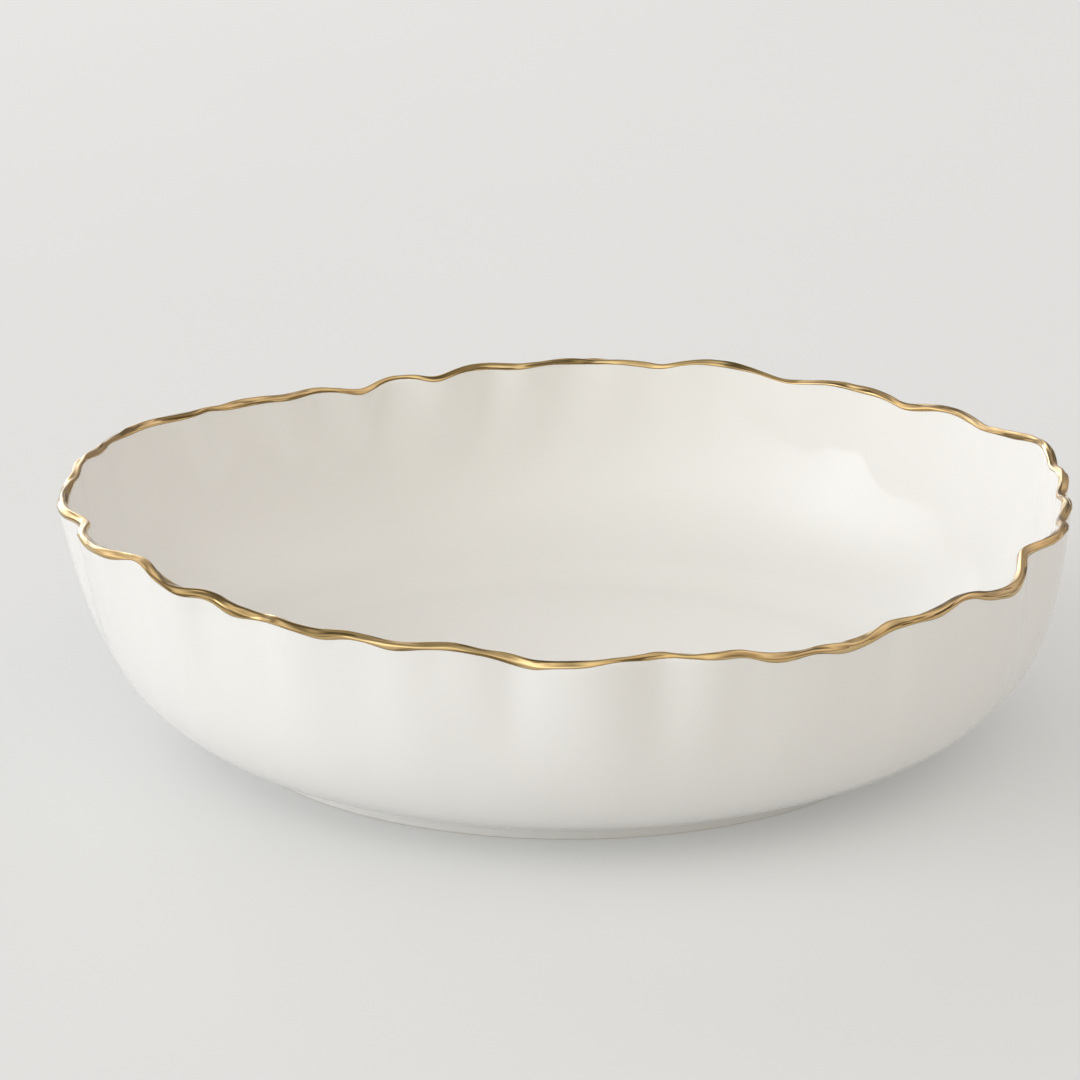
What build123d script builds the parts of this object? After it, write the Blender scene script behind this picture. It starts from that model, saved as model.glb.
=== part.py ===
"""Porcelain serving bowl with a hand-pinched, gilded rim.

Millimetres, +Z up. The origin is the middle of the foot, on the surface the bowl stands on.
Angles run anticlockwise from +X, seen from above.
"""

from build123d import *
from functools import lru_cache
import math
import os

# ---- driving dimensions ----------------------------------------------------------------
RIM_RADIUS = 149.0  # mean radius of the lip's centre line
RIM_HEIGHT = 72.0  # mean height of the lip's crest
LIP_THICKNESS = 3.0  # the lip is a half round of this width
WALL_LEAN = 0.11  # outward lean of the wall just under the lip, mm per mm

FOOT_RADIUS = 104.6  # outside of the foot where it meets the table
FOOT_HEIGHT = 4.0
FOOT_WIDTH = 6.0  # across the foot's flat bottom
FOOT_DRAFT = 0.6  # each side of the foot spreads this much towards the body
FOOT_ROUNDING = 1.2

BASE_RADIUS = 106.0  # underside of the body, just past the foot
FLOOR_RADIUS = 98.0  # flat part of the inside
FLOOR_HEIGHT = 8.5  # inside floor above the table
BASE_RECESS = 1.2  # lift of the underside's middle, inside the foot
RECESS_RADIUS = 96.0

# Control points of the wall's two curves, as (radius, height), between floor and lip.
OUTER_KNEE = (143.0, 15.0)
OUTER_BELLY = (146.5, 39.0)
INNER_KNEE = (135.0, FLOOR_HEIGHT)
INNER_BELLY = (143.3, 38.0)
BELLY_FOLLOW = 0.67  # share of the rim's broad wander that the belly follows
PINCH_FOLLOW = 0.2  # share of each pinch and swell that reaches down to the belly
PINCH_SPAN = 32.0  # degrees; wander that is wider than this is broad
BELLY_DRIFT = 1.7  # the belly sits this far off centre, towards +X

GOLD_DEPTH = 2.0  # the gilding reaches this far below the crest, inside and out
GOLD_THICKNESS = 0.3  # stands in for a fired film a few thousandths of a millimetre thick

# The rim, as the fingers left it: each petal is a pinch and then a swell, and each of
# these is (angle, radius of the lip's centre line, height of its crest).
PETALS = [
    ((-1, 148, 71.5), (4.5, 150.5, 74)),
    ((8, 150, 73.5), (14, 152, 76)),
    ((26.5, 147.5, 73), (34, 149, 73.5)),
    ((42, 148, 71), (52, 150, 72.5)),
    ((61, 149, 70.5), (71, 149.5, 74)),
    ((78, 149, 71.5), (84.5, 149.5, 72.5)),
    ((96, 148.5, 71.5), (103, 148, 71.5)),
    ((108, 147.5, 69), (111, 148, 69.5)),
    ((117.5, 148, 67), (124, 148.5, 69)),
    ((129, 148, 69.5), (137, 148, 70.5)),
    ((143, 149, 71.5), (156, 153.5, 72)),
    ((165.5, 151.5, 73), (170.5, 151, 74)),
    ((176, 150, 73.5), (187, 151, 73)),
    ((195.5, 146, 73.5), (202, 149.5, 74)),
    ((215.5, 146, 76.5), (223, 147, 73.5)),
    ((227, 145, 74), (235, 145.5, 72)),
    ((237.5, 147.5, 73), (243, 148.5, 72)),
    ((246, 148.5, 72.5), (252, 149, 71.5)),
    ((257.5, 147, 72), (269, 148.5, 68.5)),
    ((279, 149, 70.5), (283.5, 150.5, 70)),
    ((287, 150.5, 70.5), (293, 152, 68)),
    ((297, 150, 68), (300.5, 149, 67.5)),
    ((306, 148.5, 70), (309, 150, 70.5)),
    ((317, 149.5, 72.5), (325, 150.5, 69.5)),
    ((334, 145, 73), (343, 149.5, 73.5)),
    ((348, 147.5, 72), (353.5, 149, 73)),
]
PINCH_SOFTNESS = 0.25  # 0 makes every pinch a crease, 1 makes it as round as a swell

POINTS_PER_RING = 180
WALL_LEVELS = 8
LIP_STEPS = 6  # rings across the lip's half round


# ---- the rim and the wall as formulas --------------------------------------------------
def blend(a, b, share):
    return a + (b - a) * share


def swell(u):
    """Share of the way from a pinch (u = 0) to the next swell (u = 1)."""
    rise = math.hypot(math.sin(math.pi * u / 2), PINCH_SOFTNESS) - PINCH_SOFTNESS
    return rise / (math.hypot(1, PINCH_SOFTNESS) - PINCH_SOFTNESS)


def rim_at(angle):
    """Radius of the lip's centre line and height of its crest at an angle in degrees."""
    marks = [mark for petal in PETALS for mark in petal]
    first = marks[0]
    marks.append((first[0] + 360, first[1], first[2]))
    angle = (angle - first[0]) % 360 + first[0]
    number = max(i for i, mark in enumerate(marks[:-1]) if mark[0] <= angle)
    start, end = marks[number], marks[number + 1]
    u = (angle - start[0]) / (end[0] - start[0])
    leaves_pinch = number % 2 == 0
    share = swell(u) if leaves_pinch else 1 - swell(1 - u)
    return blend(start[1], end[1], share), blend(start[2], end[2], share)


def lip_section(angle, proud=0.0):
    """(radius, height) points of the lip, from the gold's inner edge over the crest to its outer
    edge, standing proud of the glaze by the given amount."""
    radius, crest = rim_at(angle)
    half = LIP_THICKNESS / 2
    centre = crest - half
    edge = crest - GOLD_DEPTH
    lean = WALL_LEAN * (centre - edge)
    turns = [math.pi * (1 - step / LIP_STEPS) for step in range(LIP_STEPS + 1)]
    reach = half + proud
    round_part = [(radius + reach * math.cos(t), centre + reach * math.sin(t)) for t in turns]
    return [(radius - lean - reach, edge), *round_part, (radius - lean + reach, edge)]


@lru_cache(maxsize=None)
def belly_wander(angle):
    """How far the belly leaves its round shape at an angle."""
    steps = 8
    around = [angle + PINCH_SPAN * (step / steps - 0.5) for step in range(steps + 1)]
    broad = sum(rim_at(turn)[0] for turn in around) / len(around)
    return BELLY_FOLLOW * (broad - RIM_RADIUS) + PINCH_FOLLOW * (rim_at(angle)[0] - broad)


def wall_point(angle, t, start, knee, belly, top):
    """(radius, height) of a wall's curve at t, 0 at its foot and 1 at the gold's edge."""
    wander = belly_wander(angle)
    belly = (belly[0] + wander, belly[1])
    weights = ((1 - t) ** 3, 3 * t * (1 - t) ** 2, 3 * t**2 * (1 - t), t**3)
    corners = (start, knee, belly, top)
    return tuple(sum(w * corner[axis] for w, corner in zip(weights, corners)) for axis in (0, 1))


def inner_point(angle, t):
    start = (FLOOR_RADIUS, FLOOR_HEIGHT)
    return wall_point(angle, t, start, INNER_KNEE, INNER_BELLY, lip_section(angle)[0])


def outer_point(angle, t):
    start = (BASE_RADIUS, FOOT_HEIGHT)
    return wall_point(angle, t, start, OUTER_KNEE, OUTER_BELLY, lip_section(angle)[-1])


# ---- surfaces --------------------------------------------------------------------------
# The rim rises and falls, so its rings aren't planar and no sketch can hold them. They are
# made as plain edges and lofted into shells, and each finished solid is added to its part.
def ring(point_at, drift=0.0):
    """A smooth closed wire through point_at(angle), moved by drift along X."""
    points = []
    for number in range(POINTS_PER_RING):
        angle = 360 * number / POINTS_PER_RING
        radius, height = point_at(angle)
        turn = math.radians(angle)
        points.append(Vector(radius * math.cos(turn) + drift, radius * math.sin(turn), height))
    parameters = [number / POINTS_PER_RING for number in range(POINTS_PER_RING + 1)]
    return Wire([Edge.make_spline(points, periodic=True, parameters=parameters)])


def wall_rings(point_at):
    rings = []
    for level in range(WALL_LEVELS + 1):
        t = level / WALL_LEVELS
        drift = BELLY_DRIFT * math.sin(math.pi * t)
        rings.append(ring(lambda angle: point_at(angle, t), drift))
    return rings


def lip_rings(proud=0.0):
    count = len(lip_section(0))
    return [ring(lambda angle: lip_section(angle, proud)[number]) for number in range(count)]


def disc(shell):
    """The flat disc that closes a wall at its foot."""
    loops = ShapeList(edge for edge in shell.edges() if edge.is_closed)
    return Face(Wire([loops.sort_by(Axis.Z)[0]]))


inner_rings = wall_rings(inner_point)
outer_rings = wall_rings(outer_point)
lip = lip_rings()
lip[0], lip[-1] = inner_rings[-1], outer_rings[-1]
inner_wall = Shell.make_loft(inner_rings)
outer_wall = Shell.make_loft(outer_rings)
lip_skin = Shell.make_loft(lip)

# ---- bowl body: floor, wall and lip in one piece of porcelain --------------------------
body_faces = [*inner_wall.faces(), *lip_skin.faces(), *outer_wall.faces()]
body_faces += [disc(inner_wall), disc(outer_wall)]
porcelain = Solid(Shell(body_faces))

with BuildPart() as bowl_body:
    add(porcelain)
    with BuildSketch(Plane.XZ):
        with BuildLine():
            bottom = Line((0, FOOT_HEIGHT), (RECESS_RADIUS, FOOT_HEIGHT))
            Line(bottom @ 0, (0, FOOT_HEIGHT + BASE_RECESS))
            Spline(
                (0, FOOT_HEIGHT + BASE_RECESS),
                bottom @ 1,
                tangents=[(1, 0), (1, -2 * BASE_RECESS / RECESS_RADIUS)],
            )
        make_face()
    revolve(axis=Axis.Z, mode=Mode.SUBTRACT)
bowl_body.part.label = "bowl_body"

# ---- foot ring: the footrim under the body ---------------------------------------------
with BuildPart() as foot_ring:
    with BuildSketch(Plane.XZ):
        with BuildLine():
            Polyline(
                (FOOT_RADIUS - FOOT_WIDTH, 0),
                (FOOT_RADIUS, 0),
                (FOOT_RADIUS + FOOT_DRAFT, FOOT_HEIGHT),
                (FOOT_RADIUS - FOOT_WIDTH - FOOT_DRAFT, FOOT_HEIGHT),
                close=True,
            )
        make_face()
    revolve(axis=Axis.Z)
    fillet(foot_ring.edges().group_by(Axis.Z)[0], FOOT_ROUNDING)
foot_ring.part.label = "foot_ring"

# ---- gold rim: the gilding fired over the lip ------------------------------------------
gold_rings = lip_rings(GOLD_THICKNESS)
gold_outside = Shell.make_loft(gold_rings)
inner_edge = Shell.make_loft([lip[0], gold_rings[0]], ruled=True)
outer_edge = Shell.make_loft([lip[-1], gold_rings[-1]], ruled=True)
gold_faces = [*lip_skin.faces(), *gold_outside.faces()]
gold_faces += [*inner_edge.faces(), *outer_edge.faces()]

with BuildPart() as gold_rim:
    add(Solid(Shell(gold_faces)))
gold_rim.part.label = "gold_rim"

# ---- STEP files ------------------------------------------------------------------------
os.makedirs("parts", exist_ok=True)
export_step(bowl_body.part, "parts/bowl_body.step")
export_step(foot_ring.part, "parts/foot_ring.step")
export_step(gold_rim.part, "parts/gold_rim.step")
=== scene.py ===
import math

import bpy
import numpy as np
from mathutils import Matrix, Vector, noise
from mathutils.kdtree import KDTree


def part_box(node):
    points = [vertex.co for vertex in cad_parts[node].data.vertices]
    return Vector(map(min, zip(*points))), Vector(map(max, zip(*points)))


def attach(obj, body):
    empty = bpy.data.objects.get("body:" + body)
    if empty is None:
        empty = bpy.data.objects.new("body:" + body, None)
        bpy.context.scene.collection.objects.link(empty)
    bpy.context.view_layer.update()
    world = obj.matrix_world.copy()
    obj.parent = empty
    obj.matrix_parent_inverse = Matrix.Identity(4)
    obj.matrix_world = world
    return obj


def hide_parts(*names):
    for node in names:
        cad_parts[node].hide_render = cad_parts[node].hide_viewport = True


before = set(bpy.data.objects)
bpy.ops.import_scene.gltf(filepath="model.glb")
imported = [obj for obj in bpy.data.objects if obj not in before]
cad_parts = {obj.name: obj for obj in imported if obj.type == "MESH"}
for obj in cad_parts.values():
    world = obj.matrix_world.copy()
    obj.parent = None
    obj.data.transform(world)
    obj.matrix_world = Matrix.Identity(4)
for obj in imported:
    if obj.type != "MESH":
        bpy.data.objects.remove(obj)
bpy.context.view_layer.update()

MM = 0.001

# ---- how finely the pieces are made -----------------------------------------------------
SECTIONS = 960  # half-plane sections read round the bowl, all of them used by the gold
BODY_STRIDE = 2  # the porcelain uses every second one
WALL_ROWS = 52
LIP_ROWS = 13
ANGLES = np.arange(SECTIONS) * 2 * math.pi / SECTIONS

# ---- places on a section, as the CAD has them -------------------------------------------
FLOOR_RADIUS = 98 * MM  # the inside is flat up to here
BASE_RADIUS = 106 * MM  # the outer wall starts here
LIP_HALF = 1.5 * MM  # the lip is a half round of this radius
WALL_END = 0.5 * MM  # the wall meets the lip this far below its middle
LIP_LEAN = 0.055 * MM  # and this far inwards
RECESS_RADIUS = 96 * MM  # the underside is lifted inside this, by RECESS_LIFT at its middle
RECESS_LIFT = 1.2 * MM

# The wall is read in polar form about this point of the section, from which both of its faces
# are seen once.
FOCUS_RADIUS = 60 * MM
FOCUS_HEIGHT = 60 * MM

# Scales that turn the two angles into lengths along the wall, so that near means near.
ROUND_SCALE = 0.150
TILT_SCALE = 0.085
SEAM_OVERLAP = 0.3  # vertices are repeated this far past the seam, in radians

# How the wall is read at each point: from this many vertices, the nearest counting most.
NEIGHBOURS = 18
NEIGHBOUR_FALLOFF = 3

# How the lip's middle is fitted at each section.
LIP_WINDOW = math.radians(1.4)  # from the vertices this near
LIP_SPREAD = math.radians(0.5)  # the nearest of them counting most
LIP_TOLERANCES = [1.0 * MM, 0.6 * MM, 0.3 * MM, 0.2 * MM, 0.2 * MM]  # off the arc, at each pass


# ---- reading the CAD surfaces -----------------------------------------------------------
class Vertices:
    """A CAD node's vertices in cylindrical form, with their normals."""

    def __init__(self, node):
        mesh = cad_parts[node].data
        flat = np.empty(len(mesh.vertices) * 3, np.float32)
        mesh.vertices.foreach_get("co", flat)
        x, y, z = flat.reshape(-1, 3).T.astype(float)
        mesh.vertex_normals.foreach_get("vector", flat)
        across, along, up = flat.reshape(-1, 3).T.astype(float)
        self.radius = np.maximum(np.hypot(x, y), 1e-9)
        self.angle = np.arctan2(y, x)
        self.height = z
        self.outward = (across * x + along * y) / self.radius
        self.upward = up


def turn_between(a, b):
    """The signed angle from b to a, within half a turn."""
    return (a - b + math.pi) % (2 * math.pi) - math.pi


def lip_centre_line():
    """Radius and height of the middle of the lip's half round, at each of ANGLES.

    In each section the lip is an arc about that middle. The middle is fitted to the vertices
    nearby, as a quadratic in the angle, in damped steps.
    """
    damping = np.diag([1, 10, 30] * 2) * 1e-3
    radii, heights = [], []
    for angle in ANGLES:
        turn = turn_between(body.angle, angle)
        near = (np.abs(turn) < LIP_WINDOW) & (body.upward > -0.2)
        turn, radius, height = turn[near] / LIP_WINDOW, body.radius[near], body.height[near]
        crest = np.argmax(height - np.abs(turn) * MM)
        centre = np.array([radius[crest], 0, 0, height[crest] - LIP_HALF, 0, 0])
        powers = np.stack([np.ones_like(turn), turn, turn**2], axis=1)
        for tolerance in LIP_TOLERANCES:
            run = radius - powers @ centre[:3]
            rise = height - powers @ centre[3:]
            distance = np.hypot(run, rise)
            used = (np.abs(distance - LIP_HALF) < tolerance) & (rise > 0)
            weight = np.exp(-((turn[used] * LIP_WINDOW / LIP_SPREAD) ** 2))[:, None]
            unit_run = (run / distance)[used, None]
            unit_rise = (rise / distance)[used, None]
            slopes = np.hstack([unit_run * powers[used], unit_rise * powers[used]])
            left = slopes.T @ (slopes * weight) + damping
            right = slopes.T @ ((distance[used] - LIP_HALF)[:, None] * weight)
            centre = centre + np.linalg.solve(left, right)[:, 0]
        radii.append(centre[0])
        heights.append(centre[3])
    return np.array(radii), np.array(heights)


def read_smoothly(known, values, wanted):
    """Values at wanted points of a plane, each from a quadratic fitted to its neighbours.

    The CAD's vertices lie on the true surface, so this leaves out the flats between them.
    """
    tree = KDTree(len(known))
    for number, (x, y) in enumerate(known):
        tree.insert((x, y, 0), number)
    tree.balance()
    found = np.array([[hit[1] for hit in tree.find_n((x, y, 0), NEIGHBOURS)] for x, y in wanted])
    step = known[found] - wanted[:, None]
    reach = np.sqrt((step**2).sum(2)).max(1)[:, None]
    x, y = step[..., 0] / reach, step[..., 1] / reach
    weight = np.exp(-NEIGHBOUR_FALLOFF * (x * x + y * y))
    terms = np.stack([np.ones_like(x), x, y, x * x, x * y, y * y], axis=2)
    left = np.einsum("qk,qki,qkj->qij", weight, terms, terms)
    left += np.diag([0, 1, 1, 3, 3, 3]) * 1e-4  # holds the slopes and bends small
    right = np.einsum("qk,qki,qk->qi", weight, terms, values[found])
    return np.linalg.solve(left, right[..., None])[:, 0, 0]


def softened(values, passes, axis=-1):
    """Values averaged with their neighbours, a few times over. Round the bowl they wrap."""
    for _ in range(passes):
        ahead, behind = np.roll(values, 1, axis), np.roll(values, -1, axis)
        values = values / 2 + (ahead + behind) / 4
    return values


def wall_face(side, start_radius, start_height):
    """One face of the wall, from its foot up to the lip, as arrays of radius and height with a
    row for each level and a column for each section. side is 1 for outside, -1 for inside."""
    run, rise = body.radius - FOCUS_RADIUS, body.height - FOCUS_HEIGHT
    distance = np.hypot(run, rise)
    facing = side * (body.outward * run + body.upward * rise) / distance
    end_run = lip_radius + side * LIP_HALF - LIP_LEAN - FOCUS_RADIUS
    end_rise = lip_height - WALL_END - FOCUS_HEIGHT
    end_height = np.interp(body.angle, ANGLES, end_rise + FOCUS_HEIGHT, period=2 * math.pi)
    # Only this face's own vertices, which face the focus or face away from it.
    used = (facing > 0.2) & (body.radius > start_radius - 0.1 * MM) & (body.height < end_height)
    tilt, angle, distance = np.arctan2(rise, run)[used], body.angle[used], distance[used]

    turned = np.concatenate([angle - 2 * math.pi, angle, angle + 2 * math.pi])
    known = np.stack([turned * ROUND_SCALE, np.tile(tilt, 3) * TILT_SCALE], axis=1)
    near = (turned > -SEAM_OVERLAP) & (turned < 2 * math.pi + SEAM_OVERLAP)

    start = math.atan2(start_height - FOCUS_HEIGHT, start_radius - FOCUS_RADIUS)
    tilts = start + (np.arctan2(end_rise, end_run) - start) * np.linspace(0, 1, WALL_ROWS)[:, None]
    turns = np.broadcast_to(ANGLES, tilts.shape)
    wanted = np.stack([turns.ravel() * ROUND_SCALE, tilts.ravel() * TILT_SCALE], axis=1)
    read = read_smoothly(known[near], np.tile(distance, 3)[near], wanted)
    read = softened(read.reshape(tilts.shape), 3)
    read[1:-1] = read[1:-1] / 2 + (read[2:] + read[:-2]) / 4

    # The last sixth of the rows is drawn to the lip's own end, which is known more closely.
    pull = np.clip(np.linspace(-5, 1, WALL_ROWS), 0, 1)[:, None] ** 2
    read = read + pull * (np.hypot(end_run, end_rise) - read[-1])
    return FOCUS_RADIUS + read * np.cos(tilts), FOCUS_HEIGHT + read * np.sin(tilts)


# ---- finger marks -----------------------------------------------------------------------
# Soft flutes that run down the wall from the lip, pressed through both faces: (angle at the
# lip, half width, push outwards in mm, slant from lip to foot, how low it ends). Angles are in
# degrees, and the end is a share of the bowl's height. They were set by comparing the render's
# shading with the photo's.
FLUTES = [
    (-24, 3.0, -0.5, 0, 0.45),
    (-14, 3.0, 0.5, 0, 0.45),
    (19, 2.5, -0.8, 0, 0.4),
    (33, 4.0, 0.7, 0, 0.5),
    (47, 3.5, 0.7, 0, 0.5),
    (57, 3.0, -0.7, 0, 0.45),
    (70, 3.5, 0.7, 0, 0.5),
    (79, 3.4, 0.5, 0, 0.5),
    (83.6, 3.2, -0.9, 0, 0.5),
    (89.8, 4.6, 0.9, 0, 0.5),
    (96, 3.1, -1.9, 0, 0.5),
    (100.5, 3.0, 1.8, 0, 0.5),
    (106.5, 4.2, -2.4, 0, 0.5),
    (113.8, 3.6, 2.6, 0, 0.5),
    (119.5, 3.0, -1.8, 0, 0.5),
    (124.5, 2.4, 1.0, 0, 0.55),
    (129.5, 2.6, -1.0, 0, 0.5),
    (137, 2.6, 0.8, 0, 0.5),
    (145, 2.6, -0.7, 0, 0.5),
    (166, 3.5, -0.7, 0, 0.5),
    (208, 3.0, 1.0, 0, 0.45),
    (222, 3.0, 0.7, 0, 0.45),
    (240, 3.0, 0.8, 0, 0.4),
    (249, 2.6, -0.7, 0, 0.4),
    (258, 2.6, 0.9, 0, 0.4),
    (264.3, 2.6, -2.0, 0, 0.35),
    (272.3, 4.8, 3.4, 5, 0.15),
    (279.4, 2.5, -1.2, 2, 0.4),
    (285.5, 2.9, 1.4, 1, 0.4),
    (293, 2.2, -0.6, 0, 0.45),
    (298, 2.6, 0.8, 0, 0.45),
    (308, 3.0, -0.5, 0, 0.5),
    (319, 3.0, 0.8, 0, 0.4),
]
CREST_RISE = 0.3  # on the near side, a push outwards lifts the crest by this share of it
DENT_DEPTH = 0.12 * MM
DENTS_PER_METRE = 28.0  # in the noise that makes the dents
DENT_FULL = 0.3  # the dents reach full depth at this share of the bowl's height


def finger_marks(height):
    """How far the wall is pushed outwards at a height in each section."""
    share = np.clip((height - base_height) / (lip_height - base_height), 0, 1)
    push = np.zeros_like(share)
    for angle, half_width, depth, slant, end in FLUTES:
        turn = turn_between(ANGLES, math.radians(angle) + math.radians(slant) * (1 - share))
        across = np.exp(-((turn / math.radians(half_width)) ** 2))
        down = np.clip((share - end) / (1 - end), 0, 1)
        push += depth * MM * across * down * down * (3 - 2 * down)
    return push


def dents(radius, height):
    """A gentle unevenness in the clay, as a push outwards."""
    share = np.clip((height - base_height) / (DENT_FULL * (lip_height - base_height)), 0, 1)
    places = points_at(ANGLES, radius, height) * DENTS_PER_METRE
    flat = np.array([noise.noise(place) for place in places.reshape(-1, 3)])
    return DENT_DEPTH * share * flat.reshape(height.shape)


def points_at(angles, radius, height):
    """Points in the frame from cylindrical coordinates, along a new last axis."""
    return np.stack([radius * np.cos(angles), radius * np.sin(angles), height], axis=-1)


body = Vertices("bowl_body")
floor_height = float(np.median(body.height[(body.upward > 0.99) & (body.radius < FLOOR_RADIUS)]))
base_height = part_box("bowl_body")[0].z
lip_radius, lip_height = (softened(line, 1) for line in lip_centre_line())
inner_radius, inner_height = wall_face(-1, FLOOR_RADIUS, floor_height)
outer_radius, outer_height = wall_face(1, BASE_RADIUS, base_height)

inner_radius = inner_radius + finger_marks(inner_height) + dents(inner_radius, inner_height)
outer_radius = outer_radius + finger_marks(outer_height) + dents(inner_radius, outer_height)
lip_push = finger_marks(lip_height)
lip_radius = lip_radius + lip_push + dents(lip_radius, lip_height)
lip_height = lip_height + CREST_RISE * np.maximum(lip_push, 0) * (np.sin(ANGLES) < 0)


# ---- meshes -----------------------------------------------------------------------------
def band_faces(rows, around, closed=False):
    """Quads between successive rows of points, each row a closed loop."""
    lower = np.arange(rows if closed else rows - 1)[:, None] * around
    upper = (lower + around) % (rows * around)
    here = np.arange(around)
    ahead = (here + 1) % around
    quads = np.stack([lower + here, lower + ahead, upper + ahead, upper + here], axis=-1)
    return quads.reshape(-1, 4)


def disc_patch(loop_start, first, around, edge_radius, height_at):
    """Fills a round loop of points with a square grid of quads bent into a disc.

    The loop's points are numbered from loop_start and the new ones from first. Returns the new
    points and the faces, which turn anticlockwise seen from above.
    """
    half = around // 8
    steps = np.arange(-half, half + 1)
    u, v = np.meshgrid(steps, steps, indexing="ij")
    ring = np.maximum(np.abs(u), np.abs(v))
    wide = np.abs(u) >= np.abs(v)
    along = np.where(wide, u, v)
    across = np.where(wide, v, -u)
    angle = math.pi / 4 * across / np.where(along == 0, 1, along)
    angle = angle + np.where(wide, 0, math.pi / 2) + np.where(along < 0, math.pi, 0)
    inside = ring < half
    number = loop_start + np.rint(angle / (2 * math.pi) * around).astype(int) % around
    number[inside] = first + np.arange(inside.sum())
    radius = edge_radius * ring[inside] / half
    points = points_at(angle[inside], radius, height_at(radius))
    quads = [number[:-1, :-1], number[1:, :-1], number[1:, 1:], number[:-1, 1:]]
    return points, np.stack(quads, axis=-1).reshape(-1, 4)


def make_piece(name, points, faces, material, node):
    """A smooth-shaded mesh object that stands for a CAD node."""
    mesh = bpy.data.meshes.new(name)
    mesh.from_pydata([tuple(p) for p in points], [], [tuple(map(int, face)) for face in faces])
    mesh.validate()
    mesh.shade_smooth()
    mesh.materials.append(material)
    piece = bpy.data.objects.new(name, mesh)
    bpy.context.scene.collection.objects.link(piece)
    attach(piece, "root")
    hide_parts(node)
    return piece


def wander(angles, counts, seed):
    """A smooth wave round the bowl, about -1 to 1, made of the given numbers of turns."""
    draw = np.random.default_rng(seed)
    total = sum(np.sin(count * angles + draw.uniform(0, 2 * math.pi)) for count in counts)
    return total / math.sqrt(len(counts))


def wave_along_lip(length, seed):
    """Smooth noise along the lip, about -1 to 1, that changes over the given length."""
    round_lip = points_at(ANGLES, lip_radius / length, np.full(SECTIONS, seed))
    return 2 * np.array([noise.noise(place) for place in round_lip])


# The lip isn't truly round: fingers and a knife have left flats along it, which twist as they
# go. The waves are (length, seed).
FACETS_PER_TURN = 4
FACET_DEPTH = 0.14 * MM
FACET_DEPTH_WAVE = (9 * MM, 11.1)
FACET_DEPTH_SPREAD = 0.5  # share by which the depth comes and goes
FACET_TWIST = math.radians(42)
SLOW_TWIST_WAVE = (19 * MM, 3.3)
QUICK_TWIST_WAVE = (7 * MM, 7.7)
QUICK_TWIST_SHARE = 0.4


def lip_facets(turn):
    """How far the flats stand off the round at each turn about the lip's middle."""
    quick = QUICK_TWIST_SHARE * wave_along_lip(*QUICK_TWIST_WAVE)
    twist = FACET_TWIST * (wave_along_lip(*SLOW_TWIST_WAVE) + quick)
    depth = FACET_DEPTH * (1 + FACET_DEPTH_SPREAD * wave_along_lip(*FACET_DEPTH_WAVE))
    fade = np.maximum(np.sin(turn), 0) ** 0.5
    return depth * np.cos(FACETS_PER_TURN * (turn - twist)) * fade


# ---- porcelain body ---------------------------------------------------------------------
def body_section():
    """The whole section from the floor's edge over the lip to the foot, as rows."""
    turns = np.linspace(math.pi, 0, LIP_ROWS)[:, None]
    reach = LIP_HALF + lip_facets(turns)
    arc_radius = lip_radius + reach * np.cos(turns)
    arc_height = lip_height + reach * np.sin(turns)
    radius = np.vstack([inner_radius, arc_radius, outer_radius[::-1]])
    height = np.vstack([inner_height, arc_height, outer_height[::-1]])
    return radius, height


def floor_at(radius):
    return np.full(radius.shape, floor_height)


def base_at(radius):
    share = np.clip(radius / RECESS_RADIUS, 0, 1)
    return base_height + RECESS_LIFT * (1 - share**2) ** 2


def make_bowl():
    wall = points_at(ANGLES, *body_section())[:, ::BODY_STRIDE]
    rows, around = wall.shape[:2]
    wall_end = rows * around
    floor, floor_faces = disc_patch(0, wall_end, around, FLOOR_RADIUS, floor_at)
    base_first = wall_end + len(floor)
    base, base_faces = disc_patch(wall_end - around, base_first, around, BASE_RADIUS, base_at)
    points = np.vstack([wall.reshape(-1, 3), floor, base])
    faces = np.vstack([band_faces(rows, around)[:, ::-1], floor_faces, base_faces[:, ::-1]])
    make_piece("bowl_porcelain", points, faces, porcelain(), "bowl_body")


# ---- foot -------------------------------------------------------------------------------
FOOT_ROUNDING = 1.2 * MM
FILLET_START = 2.4 * MM  # the glaze that fills the corner over the foot starts this high
FILLET_INSET = 0.1 * MM  # this far in from the foot's widest edge
FILLET_REACH = 2.2 * MM  # and runs this far out along the wall
FILLET_SUNK = 0.02 * MM  # where it ends this far under the body's surface
BURIED = 0.6 * MM  # the foot's top is this far inside the body
ROUNDING_ROWS = 6
FILLET_ROWS = 9


def curve(start, corner, end, count):
    """A quadratic curve's points between start and end, without the start."""
    t = np.linspace(0, 1, count + 1)[1:, None]
    start, corner, end = (np.array(p) for p in (start, corner, end))
    return (1 - t) ** 2 * start + 2 * t * (1 - t) * corner + t**2 * end


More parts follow.
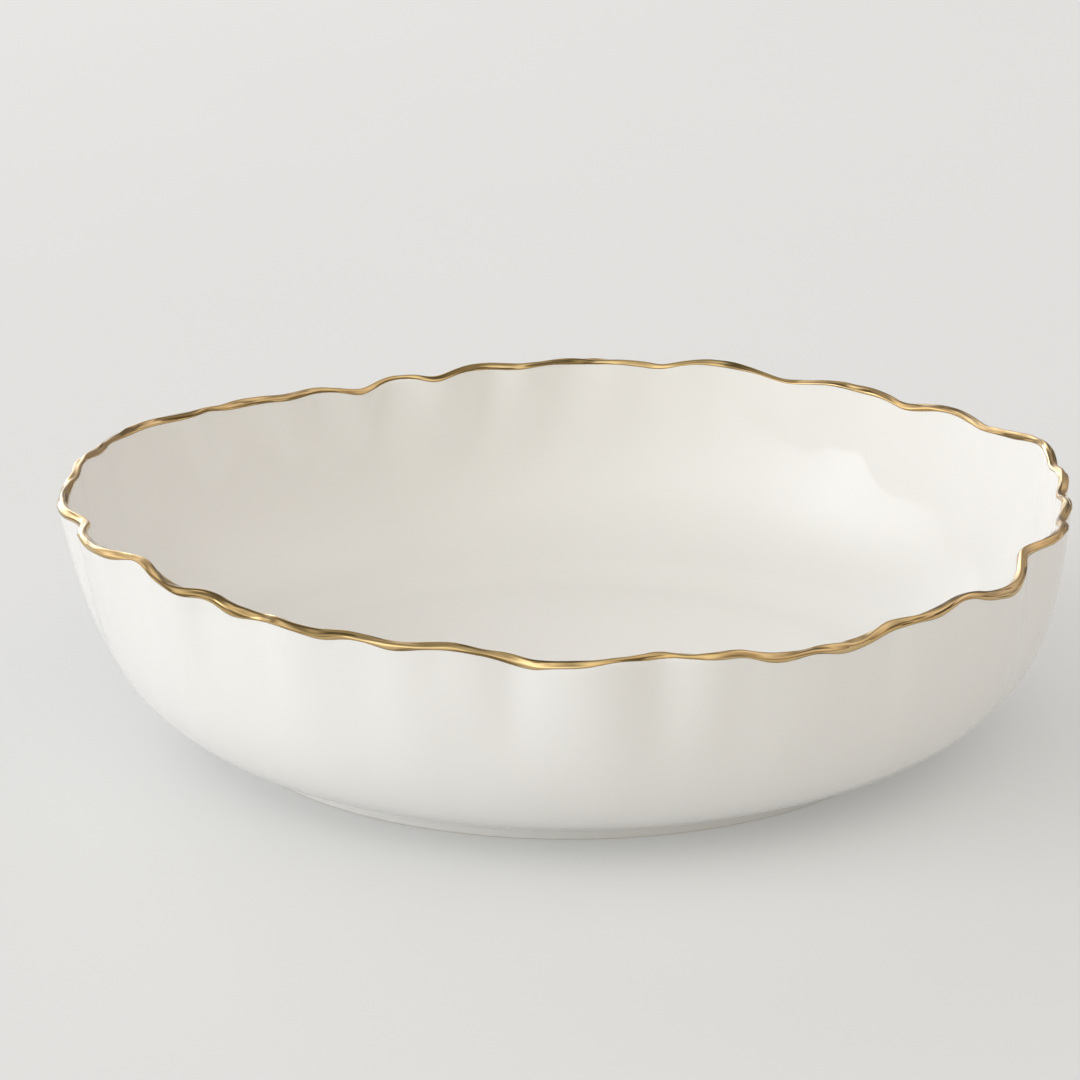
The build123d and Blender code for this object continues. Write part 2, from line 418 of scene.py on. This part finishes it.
def foot_profile(wall_rise):
    """Closed section of the foot; wall_rise is the body's height over its flat base where the
    outer fillet ends."""
    foot = Vertices("foot_ring")
    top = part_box("foot_ring")[1].z
    flat = foot.height < 0.01 * MM
    inner_flat, outer_flat = foot.radius[flat].min(), foot.radius[flat].max()
    inner_top, outer_top = foot.radius.min(), foot.radius.max()

    def side(edge_flat, edge_top, fillet_end):
        """From the middle of the flat bottom out round the edge and up to the body."""
        out = math.copysign(1, edge_top - edge_flat)
        # The foot's side leans, so its rounding turns through a little less than a right angle.
        lower = (edge_flat + out * FOOT_ROUNDING * 0.93, FOOT_ROUNDING)
        corner = (edge_flat + out * FOOT_ROUNDING * 0.85, 0)
        upper = (edge_top - out * FILLET_INSET, FILLET_START)
        steps = [
            np.linspace((edge_flat - out * FOOT_ROUNDING, 0), (edge_flat, 0), 3),
            curve((edge_flat, 0), corner, lower, ROUNDING_ROWS),
            np.linspace(lower, upper, 4)[1:],
            curve(upper, (edge_top, top), fillet_end, FILLET_ROWS),
            [(fillet_end[0] - out * BURIED, fillet_end[1] + BURIED)],
        ]
        return np.vstack(steps)

    outer = side(outer_flat, outer_top, (BASE_RADIUS + FILLET_REACH, top + wall_rise))
    inner = side(inner_flat, inner_top, (inner_top - FILLET_REACH, top + FILLET_SUNK))
    return np.vstack([outer, inner[::-1]])


def make_foot():
    level = np.interp(BASE_RADIUS + FILLET_REACH, outer_radius.mean(1), outer_height.mean(1))
    profile = foot_profile(level - base_height + FILLET_SUNK)
    angles = ANGLES[::BODY_STRIDE]
    radius, height = (np.repeat(profile[:, axis, None], len(angles), 1) for axis in (0, 1))
    points = points_at(angles, radius, height)
    faces = band_faces(len(profile), len(angles), closed=True)
    make_piece(
        "foot_porcelain", points.reshape(-1, 3), faces, foot_glaze(), "foot_ring"
    )


# ---- gilding ----------------------------------------------------------------------------
GOLD_ROWS = 26  # across the band, on its outer face
GOLD_BACK_ROWS = 9
GOLD_PROUD = 0.17 * MM  # it stands this far off the glaze
GOLD_EDGE = 0.35 * MM  # the film thickens over this distance from its edge
GOLD_BURIED = 0.15 * MM  # its back is this far inside the porcelain
GOLD_SUNK = 0.01 * MM  # its very edge is this far under the glaze
# Each edge of the gold: length from the crest along the section, how far that wanders, the
# numbers of turns in the wander's waves, and their seed.
GOLD_INNER = (2.3 * MM, 0.45 * MM, (3, 7, 13, 22, 37), 11)
GOLD_OUTER = (2.8 * MM, 0.7 * MM, (2, 5, 11, 19, 31, 53), 12)
QUARTER = LIP_HALF * math.pi / 2
WALL_TOP_ROWS = 8  # enough of the wall's rows to carry the gold's skirts


def on_lip(length, lift):
    """Radius and height on the lip at signed lengths from its crest, positive outwards, lifted
    off the surface by lift."""
    turn = math.pi / 2 - np.clip(length, -QUARTER, QUARTER) / LIP_HALF
    reach = LIP_HALF + lip_facets(turn) + lift
    radius = lip_radius + reach * np.cos(turn)
    height = lip_height + reach * np.sin(turn)
    depth = np.maximum(np.abs(length) - QUARTER, 0)
    level = lip_height - depth
    for number in range(SECTIONS):
        for side, face_radius, face_height in (
            (-1, inner_radius, inner_height),
            (1, outer_radius, outer_height),
        ):
            skirt = (depth[:, number] > 0) & (length[:, number] * side > 0)
            rows = slice(-WALL_TOP_ROWS, None)
            known_height = np.append(face_height[rows, number], lip_height[number])
            known_radius = np.append(
                face_radius[rows, number], lip_radius[number] + side * LIP_HALF
            )
            found = np.interp(level[skirt, number], known_height, known_radius)
            radius[skirt, number] = found + side * lift[skirt, number]
            height[skirt, number] = level[skirt, number]
    return radius, height


def gold_edge(length, spread, counts, seed):
    """Length from the crest to an edge of the gold in each section."""
    return length + spread * wander(ANGLES, counts, seed)


def make_gold():
    inner, outer = gold_edge(*GOLD_INNER), gold_edge(*GOLD_OUTER)
    share = np.linspace(0, 1, GOLD_ROWS)[:, None]
    length = -inner + share * (inner + outer)
    from_edge = np.minimum(length + inner, outer - length)
    rise = np.clip(from_edge / GOLD_EDGE, 0, 1)
    lift = GOLD_PROUD * rise * (2 - rise) - GOLD_SUNK
    back_share = np.linspace(1, 0, GOLD_BACK_ROWS)[:, None]
    back_length = -inner + back_share * (inner + outer)
    front = on_lip(length, lift)
    back = on_lip(back_length, np.full(back_length.shape, -GOLD_BURIED))
    radius, height = (np.vstack(pair) for pair in zip(front, back))
    points = points_at(ANGLES, radius, height)
    rows = len(radius)
    faces = band_faces(rows, SECTIONS, closed=True)[:, ::-1]
    piece = make_piece(
        "gold_lustre_rim", points.reshape(-1, 3), faces, gold(), "gold_rim"
    )
    across = np.vstack([np.repeat(share, SECTIONS, 1), np.repeat(back_share, SECTIONS, 1)])
    band = piece.data.attributes.new("across", "FLOAT", "POINT")
    band.data.foreach_set("value", across.astype(np.float32).ravel())


# ---- materials --------------------------------------------------------------------------
class Nodes:
    """A material's node tree, with short ways to add the nodes used here."""

    def __init__(self, name):
        self.material = bpy.data.materials.new(name)
        self.material.use_nodes = True
        self.tree = self.material.node_tree
        self.shader = self.tree.nodes["Principled BSDF"]

    def add(self, kind, inputs=(), **settings):
        node = self.tree.nodes.new(kind)
        for key, value in settings.items():
            setattr(node, key, value)
        for key, value in dict(inputs).items():
            self.set(node.inputs[key], value)
        return node

    def set(self, socket, value):
        if isinstance(value, bpy.types.NodeSocket):
            self.tree.links.new(value, socket)
        else:
            socket.default_value = value

    def surface(self, **values):
        for key, value in values.items():
            self.set(self.shader.inputs[key.replace("_", " ")], value)

    def noise(self, where, scale, detail=2.0, roughness=0.5):
        inputs = {"Vector": where, "Scale": scale, "Detail": detail, "Roughness": roughness}
        return self.add("ShaderNodeTexNoise", inputs).outputs["Fac"]

    def ramp(self, value, stops):
        """Colours or grey levels at the given places, with straight blends between them."""
        node = self.add("ShaderNodeValToRGB", {"Fac": value})
        elements = node.color_ramp.elements
        while len(elements) < len(stops):
            elements.new(0.5)
        for element, (place, colour) in zip(elements, stops):
            element.position = place
            element.color = (*colour, 1) if isinstance(colour, tuple) else (colour,) * 3 + (1,)
        return node.outputs["Color"]

    def math(self, operation, *values):
        node = self.add("ShaderNodeMath", operation=operation)
        for socket, value in zip(node.inputs, values):
            self.set(socket, value)
        return node.outputs["Value"]

    def mix(self, share, a, b):
        node = self.add("ShaderNodeMix", data_type="RGBA")
        self.set(node.inputs["Factor"], share)
        for socket, value in zip((node.inputs[6], node.inputs[7]), (a, b)):
            self.set(socket, value if isinstance(value, bpy.types.NodeSocket) else (*value, 1))
        return node.outputs[2]

    def bump(self, height, distance, under=None):
        """A bump that is distance deep, on top of the one under it."""
        inputs = {"Height": height, "Distance": distance, "Strength": 1.0}
        if under is not None:
            inputs["Normal"] = under
        return self.add("ShaderNodeBump", inputs).outputs["Normal"]


# Scales of noise below are counts in a metre.
EVEN = [(0.3, 0.0), (0.7, 1.0)]  # stops that spread a noise over 0 to 1

GLAZE_WHITE = (0.845, 0.838, 0.818)
GLAZE_WARM = (0.83, 0.82, 0.79)
GLAZE_RIPPLE = 0.10 * MM
ORANGE_PEEL = 0.004 * MM
SPECK = (0.42, 0.36, 0.28)
SPECK_CELLS = 55.0  # places for a speck, in a metre
SPECK_CHANCE = 0.015  # share of those places that have one
SPECK_SIZE = 0.012  # its radius, as a share of a place
SPECK_STRENGTH = 0.6
BISQUE = (0.70, 0.655, 0.58)
PALE_BISQUE = (0.80, 0.76, 0.69)
BARE_TOP = [(0.60 * MM, 1.0), (0.84 * MM, 0.0)]  # the foot is bare up to here, then glazed
BARE_ROUGHNESS = 0.7  # added where it's bare


def glaze_nodes(name):
    """White glazed porcelain: a faint drift of colour, slow ripples in the gloss and fine
    orange peel, and a rare iron speck."""
    nodes = Nodes(name)
    place = nodes.add("ShaderNodeTexCoord").outputs["Object"]
    drift = nodes.noise(place, scale=9.0, detail=3.0)
    colour = nodes.mix(nodes.ramp(drift, EVEN), GLAZE_WHITE, GLAZE_WARM)
    cells = nodes.add("ShaderNodeTexVoronoi", {"Vector": place, "Scale": SPECK_CELLS})
    chance = nodes.add("ShaderNodeSeparateColor", {"Color": cells.outputs["Color"]})
    rare = nodes.math("GREATER_THAN", chance.outputs["Red"], 1 - SPECK_CHANCE)
    close = nodes.math("LESS_THAN", cells.outputs["Distance"], SPECK_SIZE)
    speck = nodes.math("MULTIPLY", nodes.math("MULTIPLY", rare, close), SPECK_STRENGTH)
    colour = nodes.mix(speck, colour, SPECK)
    ripple = nodes.bump(nodes.noise(place, scale=38.0, detail=1.0), GLAZE_RIPPLE)
    peel = nodes.bump(nodes.noise(place, scale=620.0, detail=1.0), ORANGE_PEEL, under=ripple)
    gloss = nodes.ramp(nodes.noise(place, scale=60.0, detail=3.0), [(0.3, 0.035), (0.75, 0.085)])
    nodes.surface(
        Base_Color=colour,
        Roughness=gloss,
        IOR=1.5,
        Specular_IOR_Level=0.42,
        Normal=peel,
        Subsurface_Weight=0.08,
        Subsurface_Scale=2.0 * MM,
        Subsurface_Radius=(1.0, 0.8, 0.6),
    )
    return nodes, place, colour, gloss


def porcelain():
    return glaze_nodes("porcelain_glaze")[0].material


def foot_glaze():
    """The same glaze, wiped off the foot's ground edge."""
    nodes, place, colour, gloss = glaze_nodes("foot_porcelain")
    height = nodes.add("ShaderNodeSeparateXYZ", {"Vector": place}).outputs["Z"]
    uneven = nodes.math("MULTIPLY_ADD", nodes.noise(place, scale=160.0), 0.5 * MM, height)
    span = 2 * MM
    stops = [(level / span, share) for level, share in BARE_TOP]
    bare = nodes.ramp(nodes.math("DIVIDE", uneven, span), stops)
    grain = nodes.noise(place, scale=2600.0, detail=3.0)
    bisque = nodes.mix(grain, BISQUE, PALE_BISQUE)
    nodes.surface(
        Base_Color=nodes.mix(bare, colour, bisque),
        Roughness=nodes.math("MULTIPLY_ADD", bare, BARE_ROUGHNESS, gloss),
    )
    return nodes.material


DEEP_GOLD = (0.57, 0.385, 0.16)
PALE_GOLD = (0.69, 0.51, 0.27)
# Painted reflection: the gold's colour where reflections of a dim room are painted in, in patches.
PAINTED_REFLECTION_GOLD = (0.17, 0.115, 0.045)
THIN_GOLD = (0.36, 0.23, 0.10)
GOLD_ROUGHNESS = 0.02
WORN_ROUGHNESS = 0.035  # added where the gold is most worn
EDGE_ROUGHNESS = 0.15  # and at its edges
EDGE_SHARE = 0.09  # of the band's width, at each edge
EDGE_THINNING = 0.7
GOLD_RIPPLE = 0.07 * MM
BRUSH_MARKS = 0.012 * MM


def gold():
    """Bright gold lustre, brushed on along the rim, thinner and browner at its edges and darker in
    patches, where reflections of a dim room are painted into its colour."""
    nodes = Nodes("gold_lustre")
    place = nodes.add("ShaderNodeTexCoord").outputs["Object"]
    across = nodes.add("ShaderNodeAttribute", attribute_name="across").outputs["Fac"]
    along = nodes.add("ShaderNodeSeparateXYZ", {"Vector": place})

    def brushed(per_metre, per_band, detail, roughness):
        """Noise that is drawn out along the rim; per_band counts across the gold."""
        scaled = {
            "X": nodes.math("MULTIPLY", along.outputs["X"], per_metre),
            "Y": nodes.math("MULTIPLY", along.outputs["Y"], per_metre),
            "Z": nodes.math("MULTIPLY", across, per_band),
        }
        where = nodes.add("ShaderNodeCombineXYZ", scaled).outputs["Vector"]
        return nodes.noise(where, 1.0, detail, roughness)

    streaks = brushed(per_metre=60.0, per_band=9.0, detail=3.0, roughness=0.6)
    # Patches where reflections of a dim room are painted into the gold's colour.
    dim_reflection_noise = brushed(per_metre=42.0, per_band=3.4, detail=2.0, roughness=0.55)
    painted_reflection_share = nodes.ramp(dim_reflection_noise, [(0.54, 0.0), (0.58, 0.9)])
    edge = nodes.ramp(across, [(0.0, 1.0), (EDGE_SHARE, 0.0), (1 - EDGE_SHARE, 0.0), (1.0, 1.0)])
    rich = nodes.mix(nodes.ramp(streaks, EVEN), DEEP_GOLD, PALE_GOLD)
    rich = nodes.mix(painted_reflection_share, rich, PAINTED_REFLECTION_GOLD)
    thin = nodes.math("MULTIPLY", edge, EDGE_THINNING)
    worn = nodes.ramp(nodes.noise(place, scale=210.0), EVEN)
    rough = nodes.math("MULTIPLY_ADD", worn, WORN_ROUGHNESS, GOLD_ROUGHNESS)
    ripple = nodes.bump(nodes.noise(place, scale=170.0), GOLD_RIPPLE)
    nodes.surface(
        Base_Color=nodes.mix(thin, rich, THIN_GOLD),
        Metallic=1.0,
        Roughness=nodes.math("MULTIPLY_ADD", edge, EDGE_ROUGHNESS, rough),
        Normal=nodes.bump(streaks, BRUSH_MARKS, under=ripple),
    )
    return nodes.material


# ---- studio -----------------------------------------------------------------------------
FLOOR_SIZE = 9.0
PAPER_GRAIN = 0.03 * MM
PAPER = (0.59, 0.59, 0.585)
PALE_PAPER = (0.61, 0.61, 0.605)
FLOOR_GLOW = (0.162, 0.166, 0.166)  # the sheet is lit a little from below, like a light table


def make_floor():
    """A seamless sheet of pale paper, faintly mottled."""
    nodes = Nodes("paper")
    place = nodes.add("ShaderNodeTexCoord").outputs["Object"]
    tone = nodes.noise(place, scale=3.0, detail=3.0)
    nodes.surface(
        Base_Color=nodes.mix(tone, PAPER, PALE_PAPER),
        Roughness=0.85,
        Emission_Color=(*FLOOR_GLOW, 1),
        Emission_Strength=1.0,
        Normal=nodes.bump(nodes.noise(place, scale=900.0, detail=3.0), PAPER_GRAIN),
    )
    mesh = bpy.data.meshes.new("paper_floor")
    half = FLOOR_SIZE / 2
    corners = [(-half, -half, 0), (half, -half, 0), (half, half, 0), (-half, half, 0)]
    mesh.from_pydata(corners, [], [(0, 1, 2, 3)])
    mesh.materials.append(nodes.material)
    floor = bpy.data.objects.new("paper_floor", mesh)
    bpy.context.scene.collection.objects.link(floor)


def add_light(name, place, size, power, colour):
    """A rectangular soft light that faces the bowl."""
    light = bpy.data.lights.new(name, "AREA")
    light.shape = "RECTANGLE"
    light.size, light.size_y = size
    light.energy = power
    light.color = colour
    lamp = bpy.data.objects.new(name, light)
    bpy.context.scene.collection.objects.link(lamp)
    lamp.location = place
    lamp.rotation_euler = (-lamp.location).to_track_quat("-Z", "Y").to_euler()


# Name, place, size, power in watts and colour of each lamp.
LIGHTS = [
    ("window_strip", (-0.80, 1.72, 0.62), (0.05, 0.7), 1.0, (1.0, 0.99, 0.97)),
]

# The room's walls glow softly: azimuth (anticlockwise from +X) and elevation in degrees, how
# tight, and colour. The strengths began as a least-squares fit of the render's tones to the
# photo's, and were then rounded and changed.
GLOWS = [
    (120, 12, 12, (2.60, 2.67, 2.86)),
    (165, 12, 12, (0.30, 0.25, 0.20)),
    (190, 15, 5, (0.50, 0.49, 0.50)),
    (195, 12, 12, (1.36, 1.41, 1.48)),
    (195, 28, 12, (1.08, 1.12, 1.22)),
    (225, 12, 12, (0.20, 0.21, 0.24)),
    (235, 25, 20, (0.82, 0.90, 0.90)),
    (200, 5, 25, (0.30, 0.30, 0.32)),
    (20, 40, 6, (0.78, 0.75, 0.79)),
    (270, 40, 6, (0.97, 0.96, 0.88)),
    (330, 40, 6, (0.24, 0.20, 0.16)),
    (0, 90, 3, (0.12, 0.17, 0.19)),
]
ROOM = (0.27, 0.235, 0.20)


def make_room():
    """Surroundings of one colour, with a soft patch of light added for each glow."""
    world = bpy.data.worlds.new("room")
    world.use_nodes = True
    tree = world.node_tree

    def add(kind, operation, *values):
        node = tree.nodes.new(kind)
        node.operation = operation
        for socket, value in zip(node.inputs, values):
            if isinstance(value, bpy.types.NodeSocket):
                tree.links.new(value, socket)
            else:
                socket.default_value = value
        return node

    towards = tree.nodes.new("ShaderNodeTexCoord").outputs["Generated"]
    light = add("ShaderNodeVectorMath", "ADD", ROOM, (0, 0, 0)).outputs[0]
    for azimuth, elevation, tightness, colour in GLOWS:
        turn, rise = math.radians(azimuth), math.radians(elevation)
        way = (math.cos(rise) * math.cos(turn), math.cos(rise) * math.sin(turn), math.sin(rise))
        facing = add("ShaderNodeVectorMath", "DOT_PRODUCT", towards, way).outputs["Value"]
        ahead = add("ShaderNodeMath", "MAXIMUM", facing, 0.0).outputs[0]
        glow = add("ShaderNodeMath", "POWER", ahead, tightness).outputs[0]
        node = add("ShaderNodeVectorMath", "MULTIPLY_ADD", glow, colour, light)
        light = node.outputs[0]
    tree.links.new(light, tree.nodes["Background"].inputs["Color"])
    bpy.context.scene.world = world


CAMERA_LENS = 129.23  # mm, on a sensor 36 mm wide
CAMERA_PLACE = (0.0, -1.1175, 0.408)
CAMERA_DIP = 0.3056  # radians below level
CAMERA_TURN = 0.0075  # radians to the left


def make_camera():
    camera = bpy.data.cameras.new("camera")
    camera.sensor_width = 36.0
    camera.lens = CAMERA_LENS
    seat = bpy.data.objects.new("camera", camera)
    bpy.context.scene.collection.objects.link(seat)
    seat.location = CAMERA_PLACE
    seat.rotation_euler = (math.pi / 2 - CAMERA_DIP, 0.0, CAMERA_TURN)
    bpy.context.scene.camera = seat


make_bowl()
make_foot()
make_gold()
make_floor()
for light in LIGHTS:
    add_light(*light)
make_room()
make_camera()
bpy.context.scene.view_settings.view_transform = "Standard"
